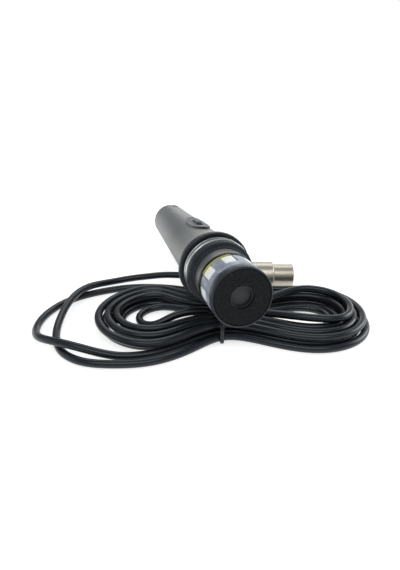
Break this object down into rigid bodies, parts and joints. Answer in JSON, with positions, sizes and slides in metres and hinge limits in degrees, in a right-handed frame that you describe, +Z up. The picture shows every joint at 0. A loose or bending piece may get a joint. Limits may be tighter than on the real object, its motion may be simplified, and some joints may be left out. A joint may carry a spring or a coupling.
{
  "type": "wired handheld microphone",
  "caption": "Handheld dynamic microphone with its grille off, showing the cartridge, threaded collar and switched tapered handle, lying on its tied cable with a latching three-pin plug.",
  "frame": {"origin": "on the table top, under the middle of the cable tie, where the coil's waist rests", "axes": "+Z up from the table, +Y along the microphone from its head towards its tail, dipping a little, +X to the right seen from the head"},
  "size_m": [0.1998, 0.2136, 0.0563],
  "materials": {
    "handle_paint": "satin warm grey metallic paint",
    "black_plastic": "satin black plastic",
    "dark_plastic": "satin dark grey plastic",
    "bright_metal": "turned bright metal",
    "grey_metal": "satin steel",
    "nickel": "nickel plate, slightly warm",
    "contact_brass": "plated brass",
    "copper": "enamelled copper wire",
    "soft_rubber": "matt black rubber",
    "cable_jacket": "slightly glossy black jacket",
    "felt": "speckled black open-cell felt",
    "white_gauze": "fine white damping cloth",
    "grey_plastic": "light grey plastic",
    "yellow_gasket": "yellow film gasket",
    "board": "green laminate",
    "film": "thin plastic film"
  },
  "bodies": {
    "cable_set": {"cable_coil": "cable_jacket", "cable_lead_long": "cable_jacket", "cable_lead_short": "cable_jacket", "cable_tie": "black_plastic", "tie_head": "black_plastic", "plug_shell": "nickel", "plug_insert": "black_plastic", "plug_contact_1": "contact_brass", "plug_contact_2": "contact_brass", "plug_contact_3": "contact_brass", "plug_collet": "black_plastic", "plug_boot": "soft_rubber", "jack_boot": "soft_rubber", "jack_barrel": "nickel", "jack_shank": "nickel", "jack_insulator": "black_plastic", "jack_tip": "nickel"},
    "microphone": {"handle_shell": "handle_paint", "head_ring": "black_plastic", "thread_collar": "bright_metal", "shock_mount": "soft_rubber", "cartridge_can": "grey_metal", "terminal_board": "board", "can_gasket": "yellow_gasket", "port_band": "grey_plastic", "port_gauze": "white_gauze", "front_cap": "black_plastic", "front_felt": "felt", "center_screen": "grey_plastic", "basket": "black_plastic", "yoke": "grey_metal", "magnet": "grey_metal", "pole_piece": "grey_metal", "lead_wire_1": "copper", "lead_wire_2": "copper", "lead_wire_3": "copper", "switch_plate": "dark_plastic", "switch_body": "black_plastic", "tail_insert": "black_plastic", "tail_pin_1": "nickel", "tail_pin_2": "nickel", "tail_pin_3": "nickel", "tail_screw": "grey_metal"},
    "thumb_slider": {"switch_slider": "dark_plastic"},
    "moving_coil": {"diaphragm": "film", "voice_coil": "copper"},
    "latch": {"plug_latch": "grey_metal"}
  },
  "joints": [
    {"name": "mic_lift", "type": "slide", "parent": "cable_set", "child": "microphone", "axis": [0, 0, 1], "range_m": [0, 0.06]},
    {"name": "switch_slide", "type": "slide", "parent": "microphone", "child": "thumb_slider", "axis": [0.0043, -0.9934, 0.1148], "range_m": [0, 0.0045]},
    {"name": "diaphragm_move", "type": "slide", "parent": "microphone", "child": "moving_coil", "axis": [0, 0.9968, -0.0802], "range_m": [-0.00025, 0.00025], "stiffness_N_per_m": 400},
    {"name": "latch_press", "type": "hinge", "parent": "cable_set", "child": "latch", "pos_m": [0.03778, 0.04134, 0.00368], "axis": [-0.2578, -0.9436, -0.2079], "range_deg": [0, 5], "stiffness_Nm_per_rad": 0.05, "springref_deg": -2.86}
  ]
}
